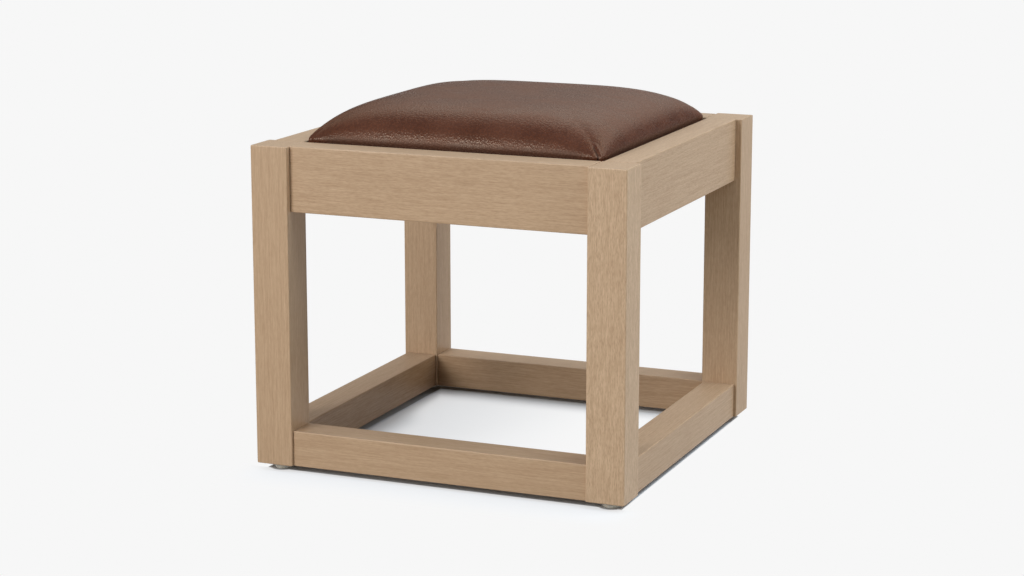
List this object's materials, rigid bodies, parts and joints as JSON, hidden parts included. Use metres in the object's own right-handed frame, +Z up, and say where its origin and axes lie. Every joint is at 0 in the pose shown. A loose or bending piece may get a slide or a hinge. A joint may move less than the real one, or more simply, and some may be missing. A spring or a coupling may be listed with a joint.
{
  "type": "cube ottoman",
  "caption": "Open cube ottoman: square wooden legs joined by top rails and floor stretchers, with a crowned leather drop-in seat that lifts out.",
  "frame": {"origin": "on the floor under the middle of the seat", "axes": "+Z up, front towards -Y, +X to the right seen from the front"},
  "size_m": [0.457, 0.457, 0.4284],
  "materials": {
    "beech": "clear satin lacquer on light tan beech",
    "tenon_beech": "bare beech",
    "block_wood": "bare softwood",
    "plywood": "bare plywood",
    "leather": "dark reddish-brown pebbled leather, soft sheen",
    "foam": "open-cell foam",
    "wrap": "white fibre wadding",
    "dust_cloth": "black non-woven cloth",
    "nylon": "off-white nylon",
    "zinc_steel": "zinc-plated steel"
  },
  "bodies": {
    "frame": {"leg_front_left": "beech", "leg_front_right": "beech", "leg_back_right": "beech", "leg_back_left": "beech", "rail_front": "beech", "rail_right": "beech", "rail_back": "beech", "rail_left": "beech", "stretcher_front": "beech", "stretcher_right": "beech", "stretcher_back": "beech", "stretcher_left": "beech", "tenon_rail_front_left": "tenon_beech", "tenon_rail_front_right": "tenon_beech", "tenon_rail_right_front": "tenon_beech", "tenon_rail_right_back": "tenon_beech", "tenon_rail_back_right": "tenon_beech", "tenon_rail_back_left": "tenon_beech", "tenon_rail_left_back": "tenon_beech", "tenon_rail_left_front": "tenon_beech", "tenon_stretcher_front_left": "tenon_beech", "tenon_stretcher_front_right": "tenon_beech", "tenon_stretcher_right_front": "tenon_beech", "tenon_stretcher_right_back": "tenon_beech", "tenon_stretcher_back_right": "tenon_beech", "tenon_stretcher_back_left": "tenon_beech", "tenon_stretcher_left_back": "tenon_beech", "tenon_stretcher_left_front": "tenon_beech", "corner_block_front_left": "block_wood", "corner_block_front_right": "block_wood", "corner_block_back_right": "block_wood", "corner_block_back_left": "block_wood", "block_screw_front_left_a": "zinc_steel", "block_screw_front_left_b": "zinc_steel", "block_screw_front_right_a": "zinc_steel", "block_screw_front_right_b": "zinc_steel", "block_screw_back_right_a": "zinc_steel", "block_screw_back_right_b": "zinc_steel", "block_screw_back_left_a": "zinc_steel", "block_screw_back_left_b": "zinc_steel", "glide_front_left": "nylon", "glide_front_right": "nylon", "glide_back_right": "nylon", "glide_back_left": "nylon", "glide_nail_front_left": "zinc_steel", "glide_nail_front_right": "zinc_steel", "glide_nail_back_right": "zinc_steel", "glide_nail_back_left": "zinc_steel"},
    "seat": {"seat_cover": "leather", "foam_wrap": "wrap", "seat_foam": "foam", "seat_board": "plywood", "dust_cover": "dust_cloth"}
  },
  "joints": [
    {"name": "seat_lift", "type": "slide", "parent": "frame", "child": "seat", "axis": [0, 0, 1], "range_m": [0, 0.12]}
  ]
}
